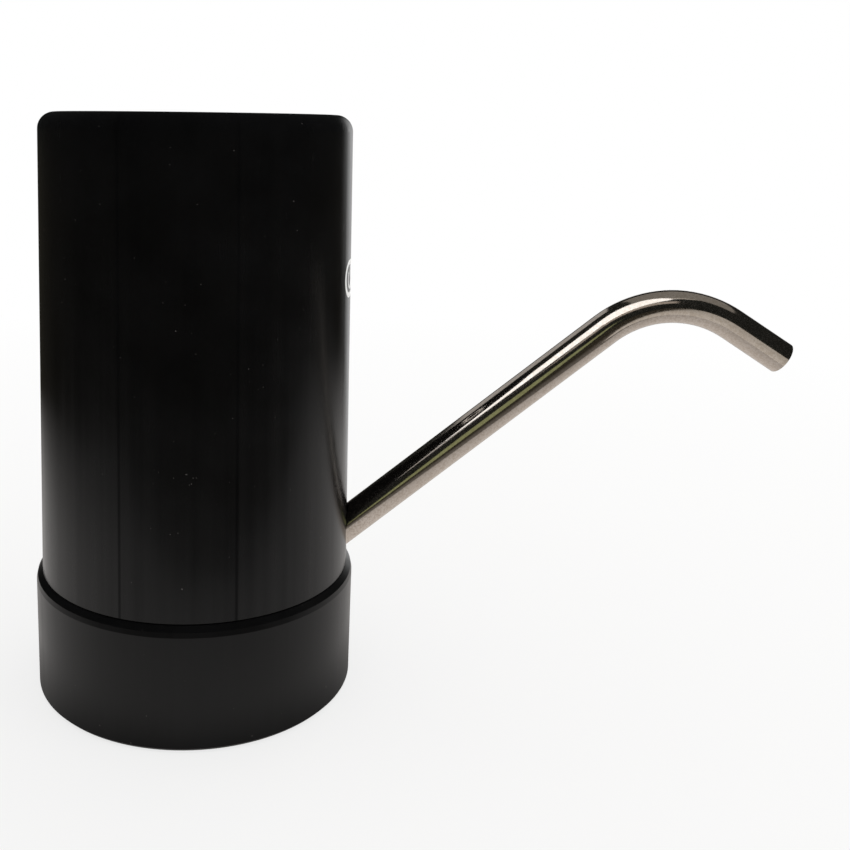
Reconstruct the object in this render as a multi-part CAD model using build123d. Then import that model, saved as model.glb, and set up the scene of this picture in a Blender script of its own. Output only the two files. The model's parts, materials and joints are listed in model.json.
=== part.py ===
from build123d import *
import os
from math import atan2, cos, degrees, pi, radians, sin, sqrt, tan

# Pump for drinking-water bottles, in millimetres.
# Origin: centre of the collar's lower rim. +Z up, the spout points along +X.

# Whole object
body_d = 75.0
overall_h = 138.5

# Fits and running gaps
fit_gap = 0.05
slide_gap = 0.1
soft_gap = 0.3
overrun = 5.0
seat_step = 0.05

# Collar
collar_h = 28.3
collar_foot_step = 1.0
collar_shoulder_step = 1.4
collar_lip = 1.3
shoulder_drop = 2.2
collar_wall = 2.4
foot_round = 0.8
neck_bore_d = 55.2
neck_land_h = 10.0
neck_wall = 2.2
neck_lead = 1.0
neck_relief = 0.9
deck_z = 19.3
deck_t = 2.0
deck_hole_d = 17.0
rib_count = 12
rib_t = 1.4

# Neck gasket
gasket_t = 1.6
gasket_bore_d = 38.0
gasket_gap = 0.2

# Housing shell
shell_wall = 2.2
shell_top_t = 2.5
top_round = 4.0
seam_gap = 0.3
boss_count = 3
boss_first_deg = 60.0
boss_inset = 4.8
boss_r = 3.0
boss_h = 13.5
boss_web_t = 2.0

# Bottom cover
cover_under_gap = 0.8
cover_t = 3.2
cover_rim_h = 7.0
cover_rim_t = 2.0
ring_groove_depth = 1.5
ring_groove_h = 2.0
ring_groove_rise = 0.8
nipple_r = 3.0
nipple_room = 0.5
nipple_lead = 2.2
nipple_bore_r = 1.8
nipple_tip_share = 0.8

# Seat ring
seat_ring_h = 1.6

# Screws
screw_shank_r = 1.1
screw_head_r = 2.2
screw_head_h = 1.4
cover_screw_l = 14.0
frame_screw_l = 4.0
elbow_screw_l = 4.2
motor_screw_l = 4.0

# Inner frame
floor_t = 2.0
cup_wall = 1.65
motor_cup_h = 20.0
motor_ledge_h = 7.8
motor_ledge_bore_r = 8.6
cell_cup_h = 49.0
cell_window_w = 11.0
frame_screw_y = 13.5
rear_screw_step = 9.3
front_screw_step = 1.5
elbow_bay_step = 8.5
elbow_bay_w = 17.0
rail_w = 2.5
rail_lip = 0.6
rear_rail_h = 54.0
front_rail_h = 80.0
rail_bite = 1.0

# Motor
motor_inset = 0.95
can_r = 12.2
can_wall = 0.8
can_h = 30.7
can_nose_r = 3.0
can_nose_h = 1.6
end_cap_t = 2.6
shaft_r = 1.0
shaft_tail = 1.5
shaft_out = 5.2
bearing_r = 2.4
bearing_h = 2.2
magnet_t = 2.1
magnet_h = 20.0
magnet_deg = 140.0
core_r = 8.6
core_h = 14.0
core_bottom_share = 0.3
slot_r = 2.7
slot_pitch_r = 5.8
slot_mouth = 1.4
wire_gap = 0.25
end_turn_h = 2.2
end_turn_inner_r = 3.2
commutator_r = 2.6
commutator_h = 3.4
commutator_share = 0.155
brush_w = 1.6
brush_t = 0.3
terminal_w = 2.4
terminal_t = 0.4
terminal_l = 4.0
terminal_y = 6.0
motor_screw_pitch = 8.0

# Pump head
head_w = 25.0
head_corner_r = 4.0
case_h = 17.2
case_floor_t = 1.8
case_bore_r = 10.9
head_screw_pitch = 10.0
head_screw_l = 19.0
cam_r = 5.0
cam_h = 5.2
cam_rise = 3.4
tilt_deg = 6.0
pivot_rise = 15.2
pin_r = 0.8
pin_l = 9.6
plate_hub_r = 2.4
plate_hub_h = 3.6
plate_arm_l = 9.4
plate_arm_w = 4.6
plate_arm_t = 1.5
diaphragm_t = 1.1
chamber_count = 3
chamber_pitch_r = 6.2
chamber_r = 3.6
chamber_wall = 0.7
chamber_drop = 0.9
valve_plate_t = 3.6
valve_pocket = 1.1
valve_r = 2.6
valve_t = 0.5
valve_stem_r = 0.7
valve_hole_r = 0.45
valve_hole_pitch_r = 1.6
outlet_valve_r = 3.2
port_cover_t = 5.0
port_pitch = 5.5
outlet_pocket_r = 4.0
inlet_pocket_r = 2.2
port_pocket_h = 2.4
barb_r = 2.25
barb_bore_r = 1.3
barb_l = 9.0
barb_rings = 3
barb_cut = 0.3

# Soft tubes inside
tube_r = 3.5
tube_bore_r = 2.3
tube_end_gap = 0.6
suction_headroom = 6.0
delivery_headroom = 2.0
delivery_drop_step = 6.5
delivery_bend_top_z = 80.0
delivery_bend_low_z = 56.0
delivery_bend_r = 28.0
tube_turn_share = 0.49
clip_t = 0.6
clip_w = 3.0
clip_gap = 1.6
clip_ear = 2.2

# Spout
spout_r = 4.0
spout_wall = 0.5
spout_hole_gap = 0.4
spout_root_z = 37.2
spout_rise_deg = 38.9
spout_fall_deg = 33.0
spout_knee_x = 114.5
spout_bend_r = 26.0
spout_tip_l = 33.7
spout_inside = 9.5

# Spout elbow
socket_r = 6.3
socket_floor = 2.0
socket_gap = 0.08
oring_cord_r = 0.5
oring_share = 0.75
oring_room = 0.3
passage_r = 1.9
leg_inset = 7.8
leg_r = 3.6
leg_top_z = 38.7
elbow_foot_w = 16.0
elbow_foot_t = 2.4
elbow_screw_step = 5.3
elbow_screw_y = 5.4

# Power key on the front
key_z = 99.8
key_w = 21.2
key_h = 9.0
trim_line = 1.2
key_gap = 0.25
key_dish = 0.1
key_flange_lip = 1.2
key_flange_t = 1.1
key_travel = 0.6
switch_w = 6.0
switch_body_h = 3.5
plunger_r = 1.6
plunger_stem_r = 1.5
plunger_bury = 1.2
plunger_free = 1.6
board_t = 1.2
switch_board_w = 18.4
switch_board_h = 17.0

# Main board on the back
main_board_inset = 4.6
main_board_t = 1.6
main_board_w = 28.0
main_board_z = 47.0
main_board_h = 43.0
port_z = 62.0
port_w = 8.94
port_h = 3.26
port_shell_t = 0.32
port_tongue_w = 6.7
port_tongue_t = 0.7
port_recess = 0.7
port_wall_gap = 0.2
lens_r = 1.2
lens_z = 74.0
lamp_r = 1.5
lamp_h = 1.4
lens_air = 0.4
part_blocks = (
    # y, z, width, height, thickness, side of the board
    (-7.0, 24.0, 6.2, 5.2, 1.6, 1),
    (6.5, 25.0, 7.4, 7.4, 3.0, 1),
    (-7.5, 34.0, 4.0, 4.0, 1.4, 1),
    (5.5, 36.0, 3.0, 5.0, 1.0, 1),
    (-6.0, 7.0, 7.0, 3.0, 2.4, 1),
    (7.0, 8.0, 4.6, 4.6, 1.8, 1),
)

# Battery cell
cell_inset = 6.05
cell_r = 9.1
cell_l = 65.0
cell_round = 0.9
cell_button_r = 2.9
cell_button_h = 0.7
cell_rest = 2.0
tab_w = 5.0
tab_t = 0.2
tab_l = 11.0

# Radii and levels that follow
body_r = body_d / 2
shell_bore_r = body_r - shell_wall
shell_bottom_z = collar_h + seam_gap
ceiling_z = overall_h - shell_top_t
cup_bore_r = body_r - collar_lip
gasket_recess_r = neck_bore_d / 2 + neck_relief
boss_pitch_r = shell_bore_r - boss_inset
cover_z = deck_z + deck_t + cover_under_gap
cover_top_z = cover_z + cover_t
cover_r = shell_bore_r - slide_gap
nipple_tip_z = neck_land_h + nipple_room
frame_r = cover_r - cover_rim_t - soft_gap
motor_y = frame_r - can_r - slide_gap - cup_wall - motor_inset
cell_y = cell_r + slide_gap + cup_wall + cell_inset - frame_r
main_board_x = main_board_inset - frame_r
leg_x = shell_bore_r - leg_inset
elbow_bay_x = leg_x - elbow_bay_step
elbow_screw_x = leg_x - elbow_screw_step
delivery_drop_x = leg_x - delivery_drop_step
rim_top_z = cover_top_z + cover_rim_h
boss_z = rim_top_z + fit_gap + seat_step
floor_z = cover_top_z + seat_step
floor_top_z = floor_z + floor_t
can_z = floor_top_z + motor_ledge_h
can_top_z = can_z + can_h
case_z = can_top_z + fit_gap
case_top_z = case_z + case_h
diaphragm_z = case_top_z + fit_gap
valve_plate_z = diaphragm_z + diaphragm_t + fit_gap
port_cover_z = valve_plate_z + valve_plate_t + fit_gap
barb_z = port_cover_z + port_cover_t
barb_top_z = barb_z + barb_l
cell_z = floor_top_z + cell_rest
boss_places = [
    (boss_pitch_r * cos(radians(boss_first_deg + k * 360 / boss_count)),
     boss_pitch_r * sin(radians(boss_first_deg + k * 360 / boss_count)))
    for k in range(boss_count)
]
frame_screw_places = [
    (x, y) for x in (main_board_x + rear_screw_step, elbow_bay_x - front_screw_step)
    for y in (-frame_screw_y, frame_screw_y)
]
chamber_places = [
    (chamber_pitch_r * cos(2 * pi * k / chamber_count),
     chamber_pitch_r * sin(2 * pi * k / chamber_count))
    for k in range(chamber_count)
]
motor_place = Pos(0, motor_y, 0)

# Key and its switch, from the flange inwards
key_flange_y = key_w / 2 + key_flange_lip
key_flange_x = sqrt((shell_bore_r - soft_gap) ** 2 - key_flange_y ** 2)
key_back_x = key_flange_x - key_flange_t
switch_face_x = key_back_x - plunger_free
switch_back_x = switch_face_x - switch_body_h
key_board_x = switch_back_x - board_t

# Spout axis
spout_dir = Vector(cos(radians(spout_rise_deg)), 0, sin(radians(spout_rise_deg)))
spout_place = Plane(origin=(body_r, 0, spout_root_z), x_dir=(0, 1, 0), z_dir=spout_dir)
spout_knee_z = spout_root_z + (spout_knee_x - body_r) * tan(radians(spout_rise_deg))


def rod(radius, low, high, place=Pos(0, 0, 0)):
    # Solid cylinder along the local Z from low to high
    bar = Cylinder(radius, high - low, align=(Align.CENTER, Align.CENTER, Align.MIN))
    return place * (Pos(0, 0, low) * bar)


def ring(outer, inner, low, high, place=Pos(0, 0, 0)):
    return rod(outer, low, high, place) - rod(inner, low - overrun, high + overrun, place)


def block(x_low, x_high, y_low, y_high, z_low, z_high):
    box = Box(x_high - x_low, y_high - y_low, z_high - z_low, align=(Align.MIN, Align.MIN, Align.MIN))
    return Pos(x_low, y_low, z_low) * box


def turned(*points):
    # Closed outline of (radius, height) points, turned about Z
    outline = make_face(Plane.XZ * Polyline(*points, close=True))
    return revolve(outline, Axis.Z)


def pill(width, height, x_low, x_high, z):
    # Stadium in the YZ plane, drawn out along X
    face = Plane(origin=(x_low, 0, z), x_dir=(0, 1, 0), z_dir=(1, 0, 0)) * SlotOverall(width, height)
    return extrude(face, x_high - x_low)


def swept_rod(points, radii, radius):
    # Round bar along straight runs joined by tangent arcs
    path = FilletPolyline(*points, radius=radii)
    section = Plane(origin=path @ 0, z_dir=path % 0) * Circle(radius)
    return sweep(section, path=path)


def hose(points, radii, outer, inner):
    # Tube along the same route, open at both ends
    return swept_rod(points, radii, outer) - swept_rod(points, radii, inner)


def screw(x, y, head_z, length, flip=1):
    # Pan screw; its head stands above head_z and its shank goes down, or the other way round
    head = rod(screw_head_r, min(0, flip * screw_head_h), max(0, flip * screw_head_h))
    shank = rod(screw_shank_r, min(0, -flip * length), max(0, -flip * length))
    drive = block(-screw_head_r * 0.6, screw_head_r * 0.6, -screw_shank_r / 5, screw_shank_r / 5,
                  flip * screw_head_h - screw_head_h / 2, flip * screw_head_h + screw_head_h / 2)
    drive += Rot(0, 0, 90) * drive
    return Pos(x, y, head_z) * (head + shank - drive)


def screw_hole(x, y, low, high):
    return rod(screw_shank_r + fit_gap, low, high, Pos(x, y, 0))


def barb(x, y, low, flip=1):
    # Hose barb with shallow ring cuts, standing on low
    stem = rod(barb_r, 0, barb_l)
    step = barb_l / (barb_rings + 1)
    for k in range(barb_rings):
        top = step * (k + 1.5)
        outline = Polyline((barb_r - barb_cut, top), (barb_r + barb_cut, top),
                           (barb_r + barb_cut, top - step * 0.8), (barb_r, top - step * 0.8), close=True)
        stem -= revolve(make_face(Plane.XZ * outline), Axis.Z)
    return Pos(x, y, low) * (stem if flip > 0 else Rot(180, 0, 0) * stem)


def head_slab(low, high):
    # Square plate of the pump head with round corners and its four screw holes
    face = RectangleRounded(head_w, head_w, head_corner_r)
    slab = extrude(Pos(0, 0, low) * face, high - low)
    for x in (-head_screw_pitch, head_screw_pitch):
        for y in (-head_screw_pitch, head_screw_pitch):
            slab -= screw_hole(x, y, low - overrun, high + overrun)
    return slab


def collar():
    foot_r = body_r + collar_foot_step
    shoulder_r = body_r + collar_shoulder_step
    skirt_r = foot_r - collar_wall
    neck_r = neck_bore_d / 2
    neck_out_r = neck_r + neck_wall
    deck_top = deck_z + deck_t
    shape = turned(
        (deck_hole_d / 2, deck_z), (gasket_recess_r, deck_z), (gasket_recess_r, neck_land_h),
        (neck_r, neck_land_h),
        (neck_r, 0), (neck_out_r, 0), (neck_out_r, deck_z), (skirt_r, deck_z), (skirt_r, 0),
        (foot_r - foot_round, 0), (foot_r, foot_round), (shoulder_r, collar_h - shoulder_drop),
        (shoulder_r - shoulder_drop / 9, collar_h - shoulder_drop / 2),
        (body_r, collar_h), (cup_bore_r, collar_h), (cup_bore_r, deck_top), (deck_hole_d / 2, deck_top),
    )
    rib = block(neck_out_r - fit_gap, skirt_r + fit_gap, -rib_t / 2, rib_t / 2, neck_lead, deck_z + fit_gap)
    for k in range(rib_count):
        shape += Rot(0, 0, (k + 0.5) * 360 / rib_count) * rib
    return shape


def neck_gasket():
    outer = gasket_recess_r - soft_gap / 2
    top = deck_z - gasket_gap
    return ring(outer, gasket_bore_d / 2, top - gasket_t, top)


def seat_ring():
    low = cover_z + ring_groove_rise + (ring_groove_h - seat_ring_h) / 2
    return ring(cup_bore_r - soft_gap, cover_r - ring_groove_depth + slide_gap, low, low + seat_ring_h)


def key_opening():
    return pill(key_w, key_h, key_back_x, body_r + overrun, key_z)


def housing_shell():
    outer = rod(body_r, shell_bottom_z, overall_h)
    outer = fillet(outer.edges().group_by(Axis.Z)[-1], top_round)
    shell = outer - rod(shell_bore_r, shell_bottom_z - overrun, ceiling_z)
    for x, y in boss_places:
        angle = degrees(atan2(y, x))
        web = block(boss_pitch_r, shell_bore_r + fit_gap, -boss_web_t / 2, boss_web_t / 2,
                    boss_z, boss_z + boss_h)
        shell += rod(boss_r, boss_z, boss_z + boss_h, Pos(x, y, 0)) + Rot(0, 0, angle) * web
        shell -= screw_hole(x, y, boss_z - overrun / 10, boss_z + cover_screw_l)
    shell -= key_opening()
    shell -= rod(spout_r + spout_hole_gap, -2 * shell_wall - overrun, overrun * 2, spout_place)
    port = Plane(origin=(-body_r - overrun, 0, port_z), x_dir=(0, 1, 0), z_dir=(1, 0, 0))
    slot = SlotOverall(port_w + 2 * port_wall_gap, port_h + 2 * port_wall_gap)
    shell -= extrude(port * slot, overrun * 2 + shell_wall)
    lens = Plane(origin=(-body_r, 0, lens_z), z_dir=(1, 0, 0))
    shell -= rod(lens_r + fit_gap, -overrun, overrun + shell_wall, lens)
    return shell


def bottom_cover():
    groove_low = cover_z + ring_groove_rise
    groove_r = cover_r - ring_groove_depth
    cover = rod(cover_r, cover_z, cover_top_z) - ring(cover_r + overrun, groove_r, groove_low,
                                                      groove_low + ring_groove_h)
    rim = ring(cover_r, cover_r - cover_rim_t, cover_top_z, rim_top_z)
    rim -= block(elbow_bay_x, body_r, -elbow_bay_w / 2, elbow_bay_w / 2, cover_top_z, rim_top_z + overrun)
    cover += rim
    for x, y in boss_places:
        cover += rod(boss_r, cover_top_z, rim_top_z, Pos(x, y, 0))
        cover -= screw_hole(x, y, cover_z - overrun, rim_top_z + overrun)
        cover -= rod(screw_head_r + slide_gap, cover_z - overrun, cover_z + screw_head_h + fit_gap,
                     Pos(x, y, 0))
    for x, y in frame_screw_places:
        cover -= screw_hole(x, y, floor_top_z - frame_screw_l - fit_gap, cover_top_z + overrun)
    for y in (-elbow_screw_y, elbow_screw_y):
        cover -= screw_hole(elbow_screw_x, y, floor_z + elbow_foot_t - elbow_screw_l - fit_gap,
                            cover_top_z + overrun)
    cover += turned((0, cover_z), (nipple_r, cover_z), (nipple_r, nipple_tip_z + nipple_lead),
                    (nipple_r * nipple_tip_share, nipple_tip_z), (0, nipple_tip_z))
    cover += barb(0, 0, cover_top_z)
    return cover - rod(nipple_bore_r, cover_z - overrun * 4, cover_z + cover_t / 2) - rod(
        barb_bore_r, cover_z, cover_top_z + barb_l + overrun)


def cover_screws():
    head_z = cover_z + screw_head_h
    return [screw(x, y, head_z, cover_screw_l, flip=-1) for x, y in boss_places]


def rail(x_low, x_high, side, y_edge, height, slot_low, slot_high):
    # Upright with a slot for a board's edge, on one side of the XZ plane
    post = block(x_low, x_high, min(side * (y_edge - rail_bite), side * (y_edge + rail_w - rail_bite)),
                 max(side * (y_edge - rail_bite), side * (y_edge + rail_w - rail_bite)),
                 floor_z, floor_top_z + height)
    slot_y = y_edge + fit_gap
    return post - block(slot_low, slot_high, min(0, side * slot_y), max(0, side * slot_y),
                        floor_top_z, floor_top_z + height + overrun)


def inner_frame():
    frame = rod(frame_r, floor_z, floor_top_z)
    frame -= block(elbow_bay_x, body_r, -elbow_bay_w / 2, elbow_bay_w / 2,
                   floor_z - overrun, floor_top_z + overrun)
    motor_cup_r = can_r + slide_gap
    frame += ring(motor_cup_r + cup_wall, motor_cup_r, floor_z, floor_top_z + motor_cup_h, motor_place)
    frame += ring(motor_cup_r + cup_wall, motor_ledge_bore_r, floor_z, can_z - fit_gap, motor_place)
    cell_cup_r = cell_r + slide_gap
    cell_place = Pos(0, cell_y, 0)
    cup = ring(cell_cup_r + cup_wall, cell_cup_r, floor_z, floor_top_z + cell_cup_h, cell_place)
    cup -= block(-cell_window_w / 2, cell_window_w / 2, cell_y - cell_r - overrun, cell_y,
                 floor_top_z + overrun, overall_h)
    frame += cup + rod(cell_cup_r, floor_z, cell_z - fit_gap, cell_place)
    frame -= rod(cell_cup_r * 0.6, floor_top_z, cell_z, cell_place)
    back = main_board_x - fit_gap
    front = main_board_x + main_board_t + fit_gap
    board_low = key_board_x - fit_gap
    board_high = switch_back_x + fit_gap
    for side in (-1, 1):
        frame += rail(back - rail_lip, front + rail_lip, side, main_board_w / 2, rear_rail_h, back, front)
        frame += rail(board_low - rail_lip, board_high + rail_lip, side, switch_board_w / 2, front_rail_h,
                      board_low, board_high)
    frame += board_rests()
    for x, y in boss_places:
        frame -= rod(boss_r + soft_gap, floor_z - overrun, rim_top_z + soft_gap, Pos(x, y, 0))
    for x, y in frame_screw_places:
        frame -= screw_hole(x, y, floor_z - overrun, floor_top_z + overrun)
    return frame - rod(barb_r + tube_r, floor_z - overrun, floor_top_z + overrun)


def board_rests():
    # Closed feet of the rail slots, at the height where each board stands
    half = main_board_w / 2
    low = switch_board_w / 2
    rests = Part()
    for side in (-1, 1):
        rests += block(main_board_x - fit_gap, main_board_x + main_board_t + fit_gap,
                       min(side * (half - rail_bite), side * (half + fit_gap)),
                       max(side * (half - rail_bite), side * (half + fit_gap)), floor_z, main_board_z - fit_gap)
        rests += block(key_board_x - fit_gap, switch_back_x + fit_gap,
                       min(side * (low - rail_bite), side * (low + fit_gap)),
                       max(side * (low - rail_bite), side * (low + fit_gap)), floor_z,
                       key_z - switch_board_h / 2 - fit_gap)
    return rests


def frame_screws():
    return [screw(x, y, floor_top_z, frame_screw_l) for x, y in frame_screw_places]


def motor_can():
    can = rod(can_r, can_z, can_top_z) - rod(can_r - can_wall, can_z - overrun, can_top_z - can_wall)
    can += rod(can_nose_r, can_top_z, can_top_z + can_nose_h)
    for x in (-motor_screw_pitch, motor_screw_pitch):
        can -= screw_hole(x, 0, can_top_z - motor_screw_l, can_top_z + overrun)
    can -= rod(bearing_r + fit_gap / 2, can_top_z - can_wall - overrun / 10, can_top_z + can_nose_h - can_wall)
    can -= rod(shaft_r + slide_gap * 2, can_top_z, can_top_z + overrun)
    return motor_place * can


def motor_end_cap():
    cap_r = can_r - can_wall - fit_gap
    cap = rod(cap_r, can_z, can_z + end_cap_t) - rod(bearing_r + fit_gap / 2, can_z + end_cap_t / 5,
                                                    can_z + end_cap_t + overrun)
    cap -= rod(shaft_r + slide_gap * 2, can_z - overrun, can_z + overrun)
    for y in (-terminal_y, terminal_y):
        cap -= block(-terminal_w / 2 - fit_gap, terminal_w / 2 + fit_gap, y - terminal_t / 2 - fit_gap,
                     y + terminal_t / 2 + fit_gap, can_z - overrun, can_z + end_cap_t + overrun)
    return motor_place * cap


def motor_terminals():
    strips = []
    for y in (-terminal_y, terminal_y):
        strip = block(-terminal_w / 2, terminal_w / 2, y - terminal_t / 2, y + terminal_t / 2,
                      can_z - terminal_l, can_z + end_cap_t)
        eye = Cylinder(terminal_w / 4, overrun, rotation=(90, 0, 0))
        strips.append(motor_place * (strip - Pos(0, y, can_z - terminal_l * 0.7) * eye))
    return strips


def commutator_span():
    low = can_z + can_h * commutator_share
    return low, low + commutator_h


def motor_brushes():
    low, high = commutator_span()
    middle = (low + high) / 2
    blades = []
    for side in (-1, 1):
        near = side * (commutator_r + slide_gap)
        far = near + side * brush_t
        foot = side * (terminal_y - terminal_t / 2 - fit_gap)
        blade = block(-brush_w / 2, brush_w / 2, min(near, far), max(near, far),
                      can_z + end_cap_t + fit_gap, middle + brush_w)
        blade += block(-brush_w / 2, brush_w / 2, min(near, foot), max(near, foot),
                       can_z + end_cap_t + fit_gap, can_z + end_cap_t + fit_gap + brush_t)
        blades.append(motor_place * blade)
    return blades


def motor_bearings():
    inner = shaft_r + fit_gap
    low = can_z + end_cap_t / 5 + fit_gap
    top = can_top_z + can_nose_h - can_wall - fit_gap
    return [ring(bearing_r, inner, low, low + bearing_h, motor_place),
            ring(bearing_r, inner, top - bearing_h, top, motor_place)]


def motor_magnets():
    outer = can_r - can_wall - fit_gap
    low = can_z + (can_h - magnet_h) / 2
    half = magnet_deg / 2
    tube = ring(outer, outer - magnet_t, low, low + magnet_h)
    reach = outer * 2
    wedge_points = [(0, 0), (reach * cos(radians(half)), reach * sin(radians(half))),
                    (reach, reach * sin(radians(half))), (reach, -reach * sin(radians(half))),
                    (reach * cos(radians(half)), -reach * sin(radians(half)))]
    wedge = extrude(Pos(0, 0, low - overrun) * make_face(Polyline(*wedge_points, close=True)),
                    magnet_h + 2 * overrun)
    arc = tube & wedge
    return [motor_place * arc, motor_place * (Rot(0, 0, 180) * arc)]


def motor_shaft():
    low = can_z + end_cap_t / 5 - shaft_tail
    return rod(shaft_r, low, can_top_z + shaft_out, motor_place)


def core_span():
    low = can_z + can_h * core_bottom_share
    return low, low + core_h


def slot_places():
    return [Rot(0, 0, k * 360 / 3) * Pos(slot_pitch_r, 0, 0) for k in range(3)]


def armature_core():
    low, high = core_span()
    core = ring(core_r, shaft_r + fit_gap / 2, low, high)
    for place in slot_places():
        core -= place * rod(slot_r, low - overrun, high + overrun)
        core -= place * block(0, core_r, -slot_mouth / 2, slot_mouth / 2, low - overrun, high + overrun)
    return motor_place * core


def armature_windings():
    low, high = core_span()
    wound = ring(slot_pitch_r + slot_r / 2, end_turn_inner_r, low - wire_gap - end_turn_h, low - wire_gap)
    wound += ring(slot_pitch_r + slot_r / 2, end_turn_inner_r, high + wire_gap, high + wire_gap + end_turn_h)
    for place in slot_places():
        wound += place * rod(slot_r - wire_gap, low - wire_gap - end_turn_h / 2,
                             high + wire_gap + end_turn_h / 2)
    return motor_place * wound


def commutator():
    low, high = commutator_span()
    body = ring(commutator_r, shaft_r + fit_gap / 2, low, high)
    for k in range(3):
        cut = block(shaft_r + brush_t, commutator_r * 2, -brush_t / 2, brush_t / 2,
                    low - overrun, high + overrun)
        body -= Rot(0, 0, k * 360 / 3 + 180 / 3) * cut
    return motor_place * body


def tilt_place():
    # Tilted axis of the wobble plate, through its pivot on the shaft's line
    return Pos(0, motor_y, case_z + pivot_rise) * Rot(0, tilt_deg, 0)


def eccentric():
    low = case_z + cam_rise
    bore = rod(shaft_r + fit_gap / 2, low - overrun, can_top_z + shaft_out + fit_gap)
    cam = motor_place * (rod(cam_r, low, low + cam_h) - bore)
    return cam - tilt_place() * rod(pin_r + fit_gap / 2, -pin_l - fit_gap, overrun)


def tilt_pin():
    return tilt_place() * rod(pin_r, -pin_l, plate_hub_h / 3)


def wobble_plate():
    hub = rod(plate_hub_r, -plate_hub_h, 0)
    for k in range(chamber_count):
        arm = block(0, plate_arm_l - plate_arm_w / 2, -plate_arm_w / 2, plate_arm_w / 2, -plate_arm_t, 0)
        arm += rod(plate_arm_w / 2, -plate_arm_t, 0, Pos(plate_arm_l - plate_arm_w / 2, 0, 0))
        hub += Rot(0, 0, k * 360 / chamber_count) * arm
    hub -= rod(pin_r + fit_gap, -plate_hub_h - overrun, overrun)
    return tilt_place() * hub


def pump_case():
    case = head_slab(case_z, case_top_z) - rod(case_bore_r, case_z + case_floor_t, case_top_z + overrun)
    case -= rod(can_nose_r + slide_gap, case_z - overrun, case_z + overrun)
    for x in (-motor_screw_pitch, motor_screw_pitch):
        case -= screw_hole(x, 0, case_z - overrun, case_z + overrun)
    window = block(-chamber_r, chamber_r, -head_w, 0, case_z + case_h / 3, case_z + case_h * 0.6)
    return motor_place * (case - window)


def motor_screws():
    head_z = case_z + case_floor_t
    length = case_floor_t + can_wall
    return [screw(x, motor_y, head_z, length) for x in (-motor_screw_pitch, motor_screw_pitch)]


def diaphragm():
    sheet = head_slab(diaphragm_z, diaphragm_z + diaphragm_t)
    low = diaphragm_z - chamber_drop
    for x, y in chamber_places:
        place = Pos(x, y, 0)
        sheet += rod(chamber_r, low, diaphragm_z + diaphragm_t, place)
        sheet -= rod(chamber_r - chamber_wall, low + chamber_wall, diaphragm_z + overrun, place)
    return motor_place * sheet


def valve_plate():
    top = valve_plate_z + valve_plate_t
    plate = head_slab(valve_plate_z, top)
    for x, y in chamber_places:
        place = Pos(x, y, 0)
        plate -= rod(chamber_r - chamber_wall, valve_plate_z - overrun, valve_plate_z + valve_pocket, place)
        plate -= rod(valve_stem_r + fit_gap, valve_plate_z, top + overrun, place)
        for k in range(3):
            hole = place * (Rot(0, 0, k * 360 / 3) * Pos(valve_hole_pitch_r, 0, 0))
            plate -= rod(valve_hole_r, valve_plate_z, top + overrun, hole)
    return motor_place * plate


def valve(radius, place, face_z, stem_l, flip):
    # Mushroom valve whose disc lies on face_z
    disc = rod(radius, min(0, flip * valve_t), max(0, flip * valve_t))
    stem = rod(valve_stem_r, min(0, -flip * stem_l), max(0, -flip * stem_l))
    return motor_place * (place * (Pos(0, 0, face_z) * (disc + stem)))


def inlet_valves():
    face_z = valve_plate_z + valve_pocket - fit_gap
    stem_l = valve_plate_t - valve_pocket - fit_gap
    radius = min(valve_r, chamber_r - chamber_wall - slide_gap)
    return [valve(radius, Pos(x, y, 0), face_z, stem_l, -1) for x, y in chamber_places]


def outlet_valve():
    low = port_cover_z + fit_gap
    return ring(outlet_valve_r, valve_stem_r, low, low + valve_t, motor_place)


def pump_cover():
    cover = head_slab(port_cover_z, barb_z)
    cover -= rod(outlet_pocket_r, port_cover_z - overrun, port_cover_z + port_pocket_h)
    for x in (-port_pitch, port_pitch):
        cover += barb(x, 0, barb_z)
        cover -= rod(inlet_pocket_r, port_cover_z - overrun, port_cover_z + port_pocket_h / 2, Pos(x, 0, 0))
        cover -= rod(barb_bore_r, port_cover_z - overrun, barb_top_z + overrun, Pos(x, 0, 0))
    return motor_place * cover


def pump_screws():
    return [screw(x, motor_y + y, barb_z, head_screw_l)
            for x in (-head_screw_pitch, head_screw_pitch) for y in (-head_screw_pitch, head_screw_pitch)]


def suction_tube():
    top = ceiling_z - suction_headroom - tube_r
    start_z = cover_top_z + tube_end_gap
    points = [(0, 0, start_z), (0, 0, top), (-port_pitch, motor_y, top),
              (-port_pitch, motor_y, barb_z + tube_end_gap)]
    turn_r = sqrt(port_pitch ** 2 + motor_y ** 2) * tube_turn_share
    return hose(points, [turn_r, turn_r], tube_r, tube_bore_r)


def delivery_tube():
    top = ceiling_z - delivery_headroom - tube_r
    points = [(port_pitch, motor_y, barb_z + tube_end_gap), (port_pitch, motor_y, top),
              (delivery_drop_x, 0, top), (delivery_drop_x, 0, delivery_bend_top_z),
              (leg_x, 0, delivery_bend_low_z),
              (leg_x, 0, leg_top_z + tube_end_gap)]
    turn_r = sqrt((delivery_drop_x - port_pitch) ** 2 + motor_y ** 2) * tube_turn_share
    return hose(points, [turn_r, turn_r, delivery_bend_r, delivery_bend_r], tube_r, tube_bore_r)


def tube_clip(x, y, z, turn):
    inner = tube_r + fit_gap
    band = ring(inner + clip_t, inner, 0, clip_w)
    band -= block(inner / 2, inner + overrun, -clip_gap / 2, clip_gap / 2, -overrun, clip_w + overrun)
    for side in (-1, 1):
        near = side * clip_gap / 2
        far = side * (clip_gap / 2 + clip_t)
        band += block(inner + clip_t / 4, inner + clip_ear, min(near, far), max(near, far), 0, clip_w)
    return Pos(x, y, z) * (Rot(0, 0, turn) * band)


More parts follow.
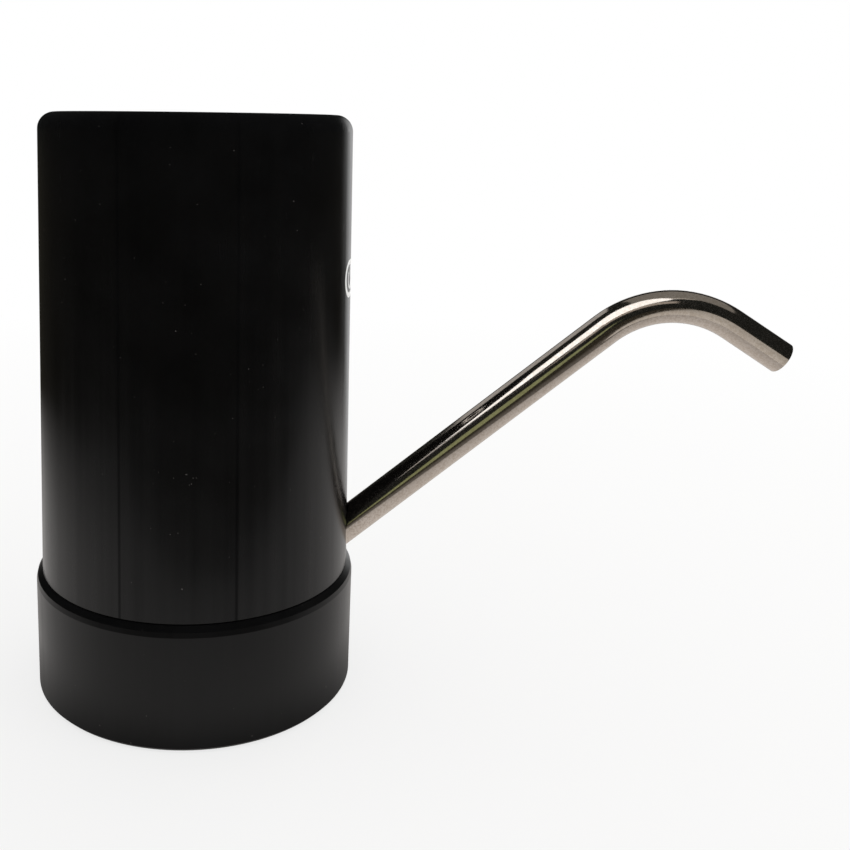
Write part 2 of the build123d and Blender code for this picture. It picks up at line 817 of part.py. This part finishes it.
def tube_clips():
    rise = barb_l / 3
    return [tube_clip(0, 0, floor_top_z + tube_end_gap, 180),
            tube_clip(-port_pitch, motor_y, barb_z + rise, 180),
            tube_clip(port_pitch, motor_y, barb_z + rise, 0),
            tube_clip(leg_x, 0, leg_top_z + rise, 180)]


def spout_elbow():
    depth = spout_inside + socket_floor
    body = rod(socket_r, -depth, 0, spout_place)
    body += rod(leg_r, floor_top_z, leg_top_z, Pos(leg_x, 0, 0))
    foot = block(elbow_bay_x + soft_gap, leg_x, -elbow_foot_w / 2, elbow_foot_w / 2, floor_z,
                 floor_z + elbow_foot_t)
    body += foot
    body = body & rod(shell_bore_r - fit_gap, floor_z, leg_top_z)
    body += barb(leg_x, 0, leg_top_z)
    body -= rod(spout_r + socket_gap, -spout_inside - fit_gap, overrun, spout_place)
    body -= rod(oring_cord_r * 2 + spout_r + oring_room, -oring_high() - fit_gap, -oring_low() + fit_gap,
                spout_place)
    inlet = rod(passage_r, -depth + socket_floor / 4, 0, spout_place)
    body -= inlet + rod(barb_bore_r, leg_top_z - leg_r * 2.4, leg_top_z + barb_l + overrun, Pos(leg_x, 0, 0))
    for y in (-elbow_screw_y, elbow_screw_y):
        body -= screw_hole(elbow_screw_x, y, floor_z - overrun, floor_z + overrun)
    return body


def oring_low():
    return spout_inside * oring_share


def oring_high():
    return oring_low() + oring_cord_r * 2


def elbow_screws():
    return [screw(elbow_screw_x, y, floor_z + elbow_foot_t, elbow_screw_l)
            for y in (-elbow_screw_y, elbow_screw_y)]


def spout_oring():
    middle = -(oring_low() + oring_high()) / 2
    torus = Torus(spout_r + slide_gap / 2 + oring_cord_r, oring_cord_r)
    return spout_place * (Pos(0, 0, middle) * torus)


def spout():
    tip = Vector(spout_knee_x, 0, spout_knee_z) + Vector(
        cos(radians(spout_fall_deg)), 0, -sin(radians(spout_fall_deg))) * spout_tip_l
    root = Vector(body_r, 0, spout_root_z) - spout_dir * spout_inside
    points = [root, Vector(spout_knee_x, 0, spout_knee_z), tip]
    return hose(points, [spout_bend_r], spout_r, spout_r - spout_wall)


def key_trim_ring():
    band = key_opening() - pill(key_w - 2 * trim_line, key_h - 2 * trim_line, -overrun,
                                body_r + 2 * overrun, key_z)
    wall = ring(body_r, shell_bore_r, key_z - key_h, key_z + key_h)
    return band & wall


def power_key():
    width = key_w - 2 * (trim_line + key_gap)
    height = key_h - 2 * (trim_line + key_gap)
    face = pill(width, height, key_back_x, body_r + overrun, key_z)
    face = face & rod(body_r - key_dish, key_z - key_h, key_z + key_h)
    flange = pill(key_w + 2 * key_flange_lip, key_h + 2 * key_flange_lip, key_back_x, key_flange_x, key_z)
    return face + flange


def switch_place():
    return Plane(origin=(0, 0, key_z), z_dir=(1, 0, 0))


def switch_plunger():
    return rod(plunger_stem_r, switch_face_x - plunger_bury, key_back_x - fit_gap, switch_place())


def key_switch():
    half = switch_w / 2
    body = block(switch_back_x + fit_gap, switch_face_x, -half, half, key_z - half, key_z + half)
    low = switch_face_x - plunger_bury - key_travel - soft_gap
    return body - rod(plunger_r, low, switch_face_x + overrun, switch_place())


def switch_board():
    half = switch_board_w / 2
    return block(key_board_x, switch_back_x, -half, half,
                 key_z - switch_board_h / 2, key_z + switch_board_h / 2)


def main_board():
    half = main_board_w / 2
    board = block(main_board_x, main_board_x + main_board_t, -half, half, main_board_z,
                  main_board_z + main_board_h)
    return board


def board_parts():
    blocks = []
    face = main_board_x + main_board_t
    for y, z, width, height, thick, side in part_blocks:
        low = face + fit_gap if side > 0 else main_board_x - fit_gap - thick
        blocks.append(block(low, low + thick, y - width / 2, y + width / 2,
                            main_board_z + z - height / 2, main_board_z + z + height / 2))
    return blocks


def charging_port():
    length = body_r - port_recess + main_board_x - fit_gap
    place = Plane(origin=(main_board_x - fit_gap, 0, port_z), x_dir=(0, 1, 0), z_dir=(-1, 0, 0))
    shell = extrude(place * SlotOverall(port_w, port_h), length)
    inner = SlotOverall(port_w - 2 * port_shell_t, port_h - 2 * port_shell_t)
    shell -= extrude(place * Pos(0, 0, port_shell_t * 2) * inner, length)
    tongue = extrude(place * Rectangle(port_tongue_w, port_tongue_t), length * 0.85)
    return shell + tongue


def charge_lamp():
    place = Plane(origin=(main_board_x - fit_gap, 0, lens_z), z_dir=(-1, 0, 0))
    return rod(lamp_r, 0, lamp_h, place)


def lamp_lens():
    start = main_board_x - fit_gap - lamp_h - lens_air
    place = Plane(origin=(start, 0, lens_z), z_dir=(-1, 0, 0))
    return rod(lens_r, 0, body_r - key_dish + start, place) & rod(body_r, lens_z - overrun, lens_z + overrun)


def battery_cell():
    cell = rod(cell_r, cell_z, cell_z + cell_l)
    cell = fillet(cell.edges().filter_by(GeomType.CIRCLE), cell_round)
    cell += rod(cell_button_r, cell_z + cell_l, cell_z + cell_l + cell_button_h)
    return Pos(0, cell_y, 0) * cell


def cell_tabs():
    top = cell_z + cell_l + cell_button_h + fit_gap
    low = cell_z - fit_gap - tab_t
    upper = block(-tab_w / 2, tab_w / 2, cell_y - tab_w / 2, cell_y + tab_l, top, top + tab_t)
    lower = block(-tab_w / 2, tab_w / 2, cell_y - tab_w, cell_y + tab_w, low, low + tab_t)
    return [upper, lower]


pieces = {
    "collar": collar,
    "neck_gasket": neck_gasket,
    "seat_ring": seat_ring,
    "housing_shell": housing_shell,
    "key_trim_ring": key_trim_ring,
    "power_key": power_key,
    "switch_plunger": switch_plunger,
    "key_switch": key_switch,
    "switch_board": switch_board,
    "bottom_cover": bottom_cover,
    "cover_screws": cover_screws,
    "inner_frame": inner_frame,
    "frame_screws": frame_screws,
    "motor_can": motor_can,
    "motor_end_cap": motor_end_cap,
    "motor_terminals": motor_terminals,
    "motor_brushes": motor_brushes,
    "motor_bearings": motor_bearings,
    "motor_magnets": motor_magnets,
    "motor_shaft": motor_shaft,
    "armature_core": armature_core,
    "armature_windings": armature_windings,
    "commutator": commutator,
    "eccentric": eccentric,
    "tilt_pin": tilt_pin,
    "wobble_plate": wobble_plate,
    "pump_case": pump_case,
    "motor_screws": motor_screws,
    "diaphragm": diaphragm,
    "valve_plate": valve_plate,
    "inlet_valves": inlet_valves,
    "outlet_valve": outlet_valve,
    "pump_cover": pump_cover,
    "pump_screws": pump_screws,
    "suction_tube": suction_tube,
    "delivery_tube": delivery_tube,
    "tube_clips": tube_clips,
    "spout_elbow": spout_elbow,
    "elbow_screws": elbow_screws,
    "spout_oring": spout_oring,
    "spout": spout,
    "main_board": main_board,
    "board_parts": board_parts,
    "charging_port": charging_port,
    "charge_lamp": charge_lamp,
    "lamp_lens": lamp_lens,
    "battery_cell": battery_cell,
    "cell_tabs": cell_tabs,
}

os.makedirs("parts", exist_ok=True)
for name, make in pieces.items():
    made = make()
    if isinstance(made, list):
        made = Compound(children=[solid for shape in made for solid in shape.solids()])
    export_step(made, f"parts/{name}.step")
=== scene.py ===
import bpy
import json
from math import cos, pi, radians, sin, sqrt
from mathutils import Matrix, Quaternion, Vector


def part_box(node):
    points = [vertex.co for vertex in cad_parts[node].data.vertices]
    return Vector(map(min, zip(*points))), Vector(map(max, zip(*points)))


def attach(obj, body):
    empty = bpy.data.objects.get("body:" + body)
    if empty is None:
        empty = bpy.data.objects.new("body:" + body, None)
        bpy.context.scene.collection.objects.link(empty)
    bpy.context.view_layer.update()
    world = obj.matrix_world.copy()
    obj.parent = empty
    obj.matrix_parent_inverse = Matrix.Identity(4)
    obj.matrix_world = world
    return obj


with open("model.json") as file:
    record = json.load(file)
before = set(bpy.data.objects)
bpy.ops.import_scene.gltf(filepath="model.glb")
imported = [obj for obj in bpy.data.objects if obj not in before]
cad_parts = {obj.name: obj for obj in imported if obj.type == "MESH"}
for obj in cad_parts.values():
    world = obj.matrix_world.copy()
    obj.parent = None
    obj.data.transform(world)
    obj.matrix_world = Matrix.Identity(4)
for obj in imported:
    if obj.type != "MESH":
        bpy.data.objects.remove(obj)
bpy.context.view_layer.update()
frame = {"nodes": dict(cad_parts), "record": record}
nodes = frame["nodes"]
scene = bpy.context.scene

# Camera: where the photograph was taken from, in metres and radians
frame_px = 850
sensor_mm = 36.0
focal_px = 1045.6
camera_azimuth = radians(6.889)
camera_distance = 0.2546
camera_height = 0.1361
camera_yaw = radians(5.965)
camera_pitch = radians(5.719)
camera_roll = radians(0.712)
shift_right = 0.14
shift_down = 0.23
clip_near = 0.01
clip_far = 20

# Surroundings: the tones that gloss sees in the room, and the heading at which the white backdrop opens
white = (1, 1, 1)
black = (0, 0, 0)
sky_colour = (1.0, 0.99, 0.98)
sky_light = 0.75
room_tone = (0.012, 0.013, 0.012)
backdrop_side = (0.342, 0.94, 0)
backdrop_edge = (0.955, 0.998)

# Floor as the camera sees it: it fades to white with the distance from the object
floor_half = 6.0
floor_drop = 0.0002
floor_colour = (0.82, 0.82, 0.81)
floor_fade = (0.12, 0.5)
floor_glow = 0.75

# Painted table reflection, which gloss sees glowing in the floor: tones by depth in front of the object,
# bright near it with painted shade further in front, an edge into the dim room, a painted shadow at the
# object's foot
table_depth = 1.0
table_skew = 0.3
table_middle = (0.06, 0, 0)
table_edge = (0.18, 0.34)
table_beyond = (0.03, 0.027, 0.02)
painted_foot_shadow_edge = (0.039, 0.054)
painted_foot_shadow_tone = 0.35
painted_table_reflection_tones = (
    (-1.0, (0.02, 0.018, 0.015)),
    (-0.4, (0.034, 0.031, 0.026)),
    (-0.3, (0.057, 0.052, 0.045)),
    (-0.2, (0.107, 0.1, 0.09)),
    (-0.13, (0.138, 0.131, 0.123)),
    (-0.12, (0.43, 0.417, 0.407)),
    (0.0, (0.64, 0.617, 0.6)),
)

# The values that a noise mostly keeps between
noise_span = (0.3, 0.7)

# Black plastic: pinhead dust, mottling, and the bump of its moulded surface
dust_span = (0.79, 0.83)
dust_colour = (0.07, 0.066, 0.062)
mottle_rough = (-0.02, 0.03)
mottle_gain = 1.5
mottle_lift = 0.001
fine_share = 0.35
moulded_bump = 0.05
moulded_depth = 0.00004

# Two faint upright lines on the housing's front, as headings in degrees around its axis
line_headings = (-19.5, 20.2)
line_half_width = radians(0.7)
line_shine = 0.42

# Stainless tube: warm clouds, and a fine speckle in colour, gloss and bump
steel_warm = ((0.7, 0.62, 0.55), (0.78, 0.7, 0.63))
steel_speck = (0.6, 0.52, 0.445)
steel_speck_span = (0.4, 0.58)
steel_rough = (0.07, 0.14)
steel_bump = 0.012
steel_depth = 0.00002

# Plain surfaces: how far roughness varies, and their bump
plain_rough = (0.85, 1.15)
plain_bump = 0.3
plain_depth = 0.00003

# Clear lens and circuit board
lens_colours = ((0.8, 0.84, 0.86), (0.9, 0.92, 0.93))
lens_rough = (0.08, 0.16)
board_colours = ((0.012, 0.11, 0.045), (0.02, 0.17, 0.07))
board_rough = (0.28, 0.4)
trace_scale = 0.5

# Printed power mark on the key: an open ring with a bar in its gap
mark_r = 0.0026
mark_stroke = 0.0007
mark_lift = 0.00003
mark_gap = radians(38)
mark_y = -0.0048
bar_low = 0.0005
bar_high = 0.003
ring_steps = 60
bar_steps = 4

# Colour sockets of a Mix node, by number because its other kinds have sockets of the same names
mix_below = 6
mix_above = 7
mix_result = 2


class Nodes:
    # Node building, shared by the materials and the world
    def __init__(self, tree):
        self.nodes = tree.nodes
        self.links = tree.links

    def add(self, kind, **settings):
        node = self.nodes.new("ShaderNode" + kind)
        for key, value in settings.items():
            setattr(node, key, value)
        return node

    def feed(self, source, socket):
        # A socket takes another node's output, or a plain number or colour
        if hasattr(source, "links"):
            self.links.new(source, socket)
        elif hasattr(source, "__len__") and len(socket.default_value) == 4:
            socket.default_value = (*source, 1)
        else:
            socket.default_value = source

    def math(self, operation, first, second):
        node = self.add("Math", operation=operation)
        self.feed(first, node.inputs[0])
        self.feed(second, node.inputs[1])
        return node.outputs[0]

    def spread(self, value, span, result=(0.0, 1.0)):
        # Takes a span of values to a span of results, and keeps what lies outside at its ends
        remap = self.add("MapRange")
        sockets = ("From Min", "From Max", "To Min", "To Max")
        for socket, number in zip(sockets, (*span, *result)):
            remap.inputs[socket].default_value = number
        self.feed(value, remap.inputs["Value"])
        return remap.outputs["Result"]

    def mix(self, factor, below, above):
        blend = self.add("Mix", data_type="RGBA")
        self.feed(factor, blend.inputs["Factor"])
        self.feed(below, blend.inputs[mix_below])
        self.feed(above, blend.inputs[mix_above])
        return blend.outputs[mix_result]

    def choose(self, factor, below, above):
        blend = self.add("MixShader")
        for socket, source in zip(blend.inputs, (factor, below, above)):
            self.feed(source, socket)
        return blend.outputs[0]

    def along(self, vector, direction):
        # How far a vector's heading leans towards a direction, 1 where they agree
        heading = self.add("VectorMath", operation="NORMALIZE")
        self.feed(vector, heading.inputs[0])
        lean = self.add("VectorMath", operation="DOT_PRODUCT")
        self.feed(heading.outputs["Vector"], lean.inputs[0])
        lean.inputs[1].default_value = direction
        return lean.outputs["Value"]

    def reach(self, vector, middle):
        span = self.add("VectorMath", operation="DISTANCE")
        self.feed(vector, span.inputs[0])
        span.inputs[1].default_value = middle
        return span.outputs["Value"]

    def backdrop(self, vector):
        # 1 where a vector points to the side that the white backdrop is on
        return self.spread(self.along(vector, backdrop_side), backdrop_edge)

    def mirrored(self):
        # 1 for what gloss and glass see
        rays = self.add("LightPath")
        return self.math("MAXIMUM", rays.outputs["Is Glossy Ray"], rays.outputs["Is Transmission Ray"])


class Shader(Nodes):
    # A material with a Principled BSDF, whose plain values are given by socket name
    def __init__(self, name, **sockets):
        self.material = bpy.data.materials.new(name)
        self.material.use_nodes = True
        super().__init__(self.material.node_tree)
        self.surface = self.nodes["Principled BSDF"]
        for socket, value in sockets.items():
            self.surface.inputs[socket.replace("_", " ")].default_value = value

    def place(self, stretch=(1, 1, 1)):
        # The object's own coordinates in millimetres
        coordinates = self.add("TexCoord")
        mapping = self.add("Mapping")
        mapping.inputs["Scale"].default_value = [1000 * s for s in stretch]
        self.feed(coordinates.outputs["Object"], mapping.inputs["Vector"])
        return mapping.outputs["Vector"]

    def noise(self, scale, stretch=(1, 1, 1), detail=4.0, roughness=0.55):
        texture = self.add("TexNoise")
        texture.inputs["Scale"].default_value = scale
        texture.inputs["Detail"].default_value = detail
        texture.inputs["Roughness"].default_value = roughness
        self.feed(self.place(stretch), texture.inputs["Vector"])
        return texture.outputs["Fac"]

    def set(self, socket, source):
        self.feed(source, self.surface.inputs[socket])

    def bump(self, height, strength, depth):
        bump = self.add("Bump")
        bump.inputs["Strength"].default_value = strength
        bump.inputs["Distance"].default_value = depth
        self.feed(height, bump.inputs["Height"])
        self.set("Normal", bump.outputs["Normal"])


def black_plastic(name, colour, rough, gloss, streaks, headings=()):
    # Moulded black plastic: faint upright flow streaks and lines, soft mottling and pinhead dust
    shader = Shader(name, IOR=1.5)
    mottle = shader.noise(scale=0.06, detail=3.0)
    streak = shader.noise(scale=0.35, stretch=(1, 1, 0.012), detail=5.0)
    dust = shader.noise(scale=1.3, detail=1.0)
    paler = [c * mottle_gain + mottle_lift for c in colour]
    base = shader.mix(shader.spread(mottle, noise_span), colour, paler)
    shader.set("Base Color", shader.mix(shader.spread(dust, dust_span), base, dust_colour))
    streaked = shader.spread(streak, noise_span, rough)
    shader.set("Roughness", shader.math("ADD", streaked, shader.spread(mottle, noise_span, mottle_rough)))
    shine = shader.spread(streak, noise_span, (gloss * (1 - streaks), gloss * (1 + streaks)))
    for heading in headings:
        toward = (sin(radians(heading)), -cos(radians(heading)), 0)
        lean = shader.along(shader.place(stretch=(1, 1, 0)), toward)
        line = shader.spread(lean, (cos(line_half_width), 1.0), (1.0, line_shine))
        shine = shader.math("MULTIPLY", shine, line)
    shader.set("Specular IOR Level", shine)
    fine = shader.math("MULTIPLY", shader.noise(scale=2.6, detail=2.0), fine_share)
    shader.bump(shader.math("ADD", fine, streak), moulded_bump, moulded_depth)
    return shader.material


def stainless(name):
    # Polished tube with warm clouds and fine grain
    shader = Shader(name, Metallic=1.0, IOR=2.5)
    grain = shader.noise(scale=1.7, detail=6.0, roughness=0.7)
    cloud = shader.noise(scale=0.12, detail=3.0)
    warm = shader.mix(shader.spread(cloud, noise_span), *steel_warm)
    shader.set("Base Color", shader.mix(shader.spread(grain, steel_speck_span), steel_speck, warm))
    shader.set("Roughness", shader.spread(grain, noise_span, steel_rough))
    shader.bump(grain, steel_bump, steel_depth)
    return shader.material


def plain(name, colour, rough, darker=0.75, **sockets):
    # Moulded, cast or rolled surface with slight colour and gloss variation
    shader = Shader(name, **sockets)
    cloud = shader.noise(scale=0.15, detail=3.0)
    fine = shader.noise(scale=1.2, detail=4.0)
    deeper = [c * darker for c in colour]
    shader.set("Base Color", shader.mix(shader.spread(cloud, noise_span), deeper, colour))
    shader.set("Roughness", shader.spread(fine, noise_span, [rough * share for share in plain_rough]))
    shader.bump(fine, plain_bump, plain_depth)
    return shader.material


def clear_lens(name):
    shader = Shader(name, Transmission_Weight=0.85, IOR=1.49)
    fine = shader.noise(scale=1.0, detail=2.0)
    shader.set("Base Color", shader.mix(fine, *lens_colours))
    shader.set("Roughness", shader.spread(fine, noise_span, lens_rough))
    return shader.material


def circuit_board(name):
    shader = Shader(name)
    traces = shader.add("TexBrick")
    traces.inputs["Scale"].default_value = trace_scale
    shader.feed(shader.place(), traces.inputs["Vector"])
    shader.set("Base Color", shader.mix(traces.outputs["Fac"], *board_colours))
    shader.set("Roughness", shader.spread(shader.noise(scale=1.5), noise_span, board_rough))
    shader.bump(traces.outputs["Fac"], plain_bump, plain_depth)
    return shader.material


# Material slots of the part's record: what makes each, and its settings
looks = {
    "housing_plastic": (black_plastic, dict(
        colour=(0.0016, 0.0016, 0.0018), rough=(0.2, 0.27), gloss=0.37, streaks=0.17,
        headings=line_headings)),
    "collar_plastic": (black_plastic, dict(
        colour=(0.0018, 0.0018, 0.002), rough=(0.27, 0.33), gloss=0.34, streaks=0.04)),
    "key_plastic": (plain, dict(colour=(0.006, 0.006, 0.0065), rough=0.3)),
    "white_trim": (plain, dict(colour=(0.88, 0.88, 0.87), rough=0.4, darker=0.96)),
    "stainless": (stainless, {}),
    "silicone": (plain, dict(colour=(0.62, 0.63, 0.62), rough=0.4, Subsurface_Weight=0.2)),
    "dark_rubber": (plain, dict(colour=(0.015, 0.015, 0.015), rough=0.65)),
    "inner_plastic": (plain, dict(colour=(0.02, 0.02, 0.022), rough=0.5)),
    "pump_plastic": (plain, dict(colour=(0.7, 0.69, 0.63), rough=0.45, darker=0.92)),
    "zinc_steel": (plain, dict(colour=(0.58, 0.58, 0.58), rough=0.32, Metallic=1.0)),
    "magnet": (plain, dict(colour=(0.05, 0.05, 0.055), rough=0.7)),
    "copper": (plain, dict(colour=(0.72, 0.35, 0.2), rough=0.3, Metallic=1.0)),
    "board_green": (circuit_board, {}),
    "chip_black": (plain, dict(colour=(0.02, 0.02, 0.02), rough=0.5)),
    "lens_clear": (clear_lens, {}),
    "cell_sleeve": (plain, dict(colour=(0.05, 0.16, 0.42), rough=0.3, darker=0.9)),
    "nickel": (plain, dict(colour=(0.66, 0.65, 0.6), rough=0.3, Metallic=1.0)),
}
materials = {name: make(name, **settings) for name, (make, settings) in looks.items()}


def dress_nodes():
    for part in frame["record"]["subparts"]:
        node = nodes[part["node"]]
        node.data.materials.clear()
        node.data.materials.append(materials[part["material_slot"]])


def add_camera():
    data = bpy.data.cameras.new("camera")
    data.sensor_width = sensor_mm
    data.lens = focal_px / frame_px * sensor_mm
    data.shift_x = shift_right
    data.shift_y = -shift_down
    data.clip_start = clip_near
    data.clip_end = clip_far
    camera = bpy.data.objects.new("camera", data)
    scene.collection.objects.link(camera)
    turn = camera_yaw - camera_azimuth
    ahead = Vector((sin(turn) * cos(camera_pitch), cos(turn) * cos(camera_pitch), -sin(camera_pitch)))
    right = Vector((cos(turn), -sin(turn), 0))
    up = right.cross(ahead)
    rolled_right = right * cos(camera_roll) + up * sin(camera_roll)
    rolled_up = up * cos(camera_roll) - right * sin(camera_roll)
    place = Matrix((rolled_right, rolled_up, -ahead)).transposed().to_4x4()
    place.translation = Vector((sin(camera_azimuth) * camera_distance,
                                -cos(camera_azimuth) * camera_distance, camera_height))
    camera.matrix_world = place
    scene.camera = camera


def add_mesh(name, points, faces):
    mesh = bpy.data.meshes.new(name)
    mesh.from_pydata(points, [], faces)
    mesh.update()
    thing = bpy.data.objects.new(name, mesh)
    scene.collection.objects.link(thing)
    return thing


def painted_table_reflection(shader, place, distance):
    # Painted reflection tones run with the depth in front of the object, bright near it and in painted shade
    # further in front, skewed to the spout's side
    axes = shader.add("SeparateXYZ")
    shader.feed(place, axes.inputs[0])
    skew = shader.math("MULTIPLY", axes.outputs["X"], table_skew)
    depth = shader.math("SUBTRACT", axes.outputs["Y"], skew)
    ramp = shader.add("ValToRGB")
    stops = ramp.color_ramp.elements
    while len(stops) < len(painted_table_reflection_tones):
        # Each new stop starts halfway and gets its place below
        stops.new(0.5)
    for stop, (stop_depth, tone) in zip(stops, painted_table_reflection_tones):
        stop.position = 1 + stop_depth / table_depth
        stop.color = (*tone, 1)
    shader.feed(shader.spread(depth, (-table_depth, 0.0)), ramp.inputs["Fac"])

    # Then its far edge, the painted shadow at the object's foot and the backdrop
    far = shader.spread(shader.reach(place, table_middle), table_edge)
    table = shader.mix(far, ramp.outputs["Color"], table_beyond)
    # Painted shadow: the reflected table darkens close to the object's foot
    painted_foot_shadow = shader.spread(distance, painted_foot_shadow_edge, (painted_foot_shadow_tone, 1.0))
    table = shader.mix(painted_foot_shadow, black, table)
    return shader.mix(shader.backdrop(place), table, white)


def add_floor():
    # Pale floor that keeps a soft shadow. Gloss and glass see it glow with a painted reflection of a lit
    # table in painted shade at its front, which fades into a dim room
    corners = [(x * floor_half, y * floor_half, 0) for x, y in ((-1, -1), (1, -1), (1, 1), (-1, 1))]
    floor = add_mesh("floor", corners, [(0, 1, 2, 3)])
    floor.location.z = -floor_drop
    shader = Shader("floor", Roughness=0.9, Specular_IOR_Level=0.1)
    shader.set("Base Color", floor_colour)
    place = shader.add("NewGeometry").outputs["Position"]
    distance = shader.reach(place, (0, 0, 0))
    # Glow that gloss and glass see: the painted table reflection
    mirror = shader.add("Emission")
    shader.feed(painted_table_reflection(shader, place, distance), mirror.inputs["Color"])
    glow = shader.add("Emission")
    shader.feed(white, glow.inputs["Color"])

    lit = shader.surface.outputs["BSDF"]
    seen = shader.choose(shader.spread(distance, floor_fade, (floor_glow, 1.0)), lit, glow.outputs[0])
    unseen = shader.choose(shader.mirrored(), lit, mirror.outputs[0])
    camera = shader.add("LightPath").outputs["Is Camera Ray"]
    whole = shader.choose(camera, unseen, seen)
    shader.feed(whole, shader.nodes["Material Output"].inputs["Surface"])
    floor.data.materials.append(shader.material)


def add_world():
    # White backdrop, even soft light, and for gloss and glass a dim room open to that backdrop
    world = bpy.data.worlds.new("studio")
    scene.world = world
    world.use_nodes = True
    tree = Nodes(world.node_tree)

    def background(colour, strength=1.0):
        node = tree.add("Background")
        tree.feed(colour, node.inputs["Color"])
        node.inputs["Strength"].default_value = strength
        return node.outputs[0]

    direction = tree.add("TexCoord").outputs["Generated"]
    room = tree.mix(tree.backdrop(direction), room_tone, white)
    unseen = tree.choose(tree.mirrored(), background(sky_colour, sky_light), background(room))
    camera = tree.add("LightPath").outputs["Is Camera Ray"]
    whole = tree.choose(camera, unseen, background(white))
    tree.feed(whole, tree.nodes["World Output"].inputs["Surface"])


def light(name, place, aim, size, power, colour=white, only=None, shape="RECTANGLE", roll=0):
    # Soft lamp, in metres, watts and degrees. One that lights a single node also shows in that node's gloss
    data = bpy.data.lights.new(name, "AREA")
    data.shape = shape
    data.size, data.size_y = size
    data.energy = power
    data.color = colour
    lamp = bpy.data.objects.new(name, data)
    scene.collection.objects.link(lamp)
    lamp.location = place
    lamp.rotation_mode = "QUATERNION"
    facing = (Vector(place) - Vector(aim)).to_track_quat("Z", "Y")
    lamp.rotation_quaternion = facing @ Quaternion((0, 0, 1), radians(roll))
    lamp.visible_camera = False
    lamp.visible_glossy = only is not None
    if only:
        lit = bpy.data.collections.new(name + "_lights")
        lit.objects.link(nodes[only])
        lamp.light_linking.receiver_collection = lit


def add_lights():
    # Lamps for the whole object
    body = (0.03, 0, 0.07)
    light("overhead", place=(-0.2, 0.35, 1.5), aim=body, size=(1.6, 1.6), power=5)
    light("right_panel", place=(0.85, 1.1, 0.5), aim=body, size=(1.1, 1.0), power=4.0, colour=(1, 0.98, 0.95))
    light("side_fill", place=(1.3, -0.5, 0.6), aim=body, size=(1.0, 1.0), power=5)

    # Lamps for the tube alone, placed where the photograph's reflections have them
    tube = (0.1, 0, 0.09)
    warm = (1, 0.97, 0.91)
    light("spout_lamp", place=(-0.22, -0.49, 0.9), aim=(-0.22, -0.49, 0), size=(1.18, 0.78), power=3.8,
          colour=(0.92, 0.96, 1), only="spout", shape="ELLIPSE")
    light("spout_rim", place=(-0.296, 1.12, 0.681), aim=(0.444, 0.44, 0.021), size=(1.27, 0.4), power=0.64,
          only="spout", roll=32)
    light("spout_tail", place=(-0.98, -0.82, 0.9), aim=tube, size=(0.35, 0.3), power=0.15, only="spout")
    light("spout_top", place=(0.55, 0.3, 0.9), aim=(0.55, 0.3, 0), size=(1.2, 1.2), power=0.9, colour=warm,
          only="spout")
    light("spout_bend", place=(0.38, -0.2, 0.9), aim=(0.38, -0.2, 0), size=(0.55, 0.45), power=0.25,
          colour=warm, only="spout", shape="ELLIPSE")
    light("spout_front", place=(0.02, -1.4, 1.22), aim=tube, size=(1.39, 0.44), power=0.74,
          colour=(1, 0.92, 0.84), only="spout")
    light("spout_glow", place=(-0.02, -0.8, 0.13), aim=tube, size=(0.3, 0.26), power=0.068,
          colour=(0.9, 1.0, 0.5), only="spout")
    light("spout_table", place=(0.3363, -0.2924, 0.044), aim=(0.4883, -0.2324, 1.031), size=(0.64, 0.21),
          power=0.185, colour=(1, 0.975, 0.93), only="spout")


def add_key_mark():
    # The power mark lies on the key's curved face and rides with it
    key_low, key_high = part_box("power_key")
    middle_z = (key_low.z + key_high.z) / 2
    face_r = key_high.x + mark_lift
    points = []
    faces = []

    def strip(pairs):
        # A band of faces between two edges, given as pairs of y and z
        start = len(points)
        for pair in pairs:
            points.extend((sqrt(face_r ** 2 - y ** 2), y, z) for y, z in pair)
        faces.extend((k, k + 2, k + 3, k + 1) for k in range(start, len(points) - 2, 2))

    turns = [mark_gap + (2 * pi - 2 * mark_gap) * step / ring_steps for step in range(ring_steps + 1)]
    strip([[(mark_y + r * sin(turn), middle_z + r * cos(turn)) for r in (mark_r - mark_stroke, mark_r)]
           for turn in turns])
    heights = [middle_z + bar_low + (bar_high - bar_low) * step / bar_steps for step in range(bar_steps + 1)]
    strip([[(mark_y + side * mark_stroke / 2, height) for side in (-1, 1)] for height in heights])
    mark = add_mesh("key_mark", points, faces)
    mark.data.materials.append(materials["white_trim"])
    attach(mark, "key")


add_camera()
dress_nodes()
add_floor()
add_world()
add_lights()
add_key_mark()
scene.view_settings.view_transform = "Standard"
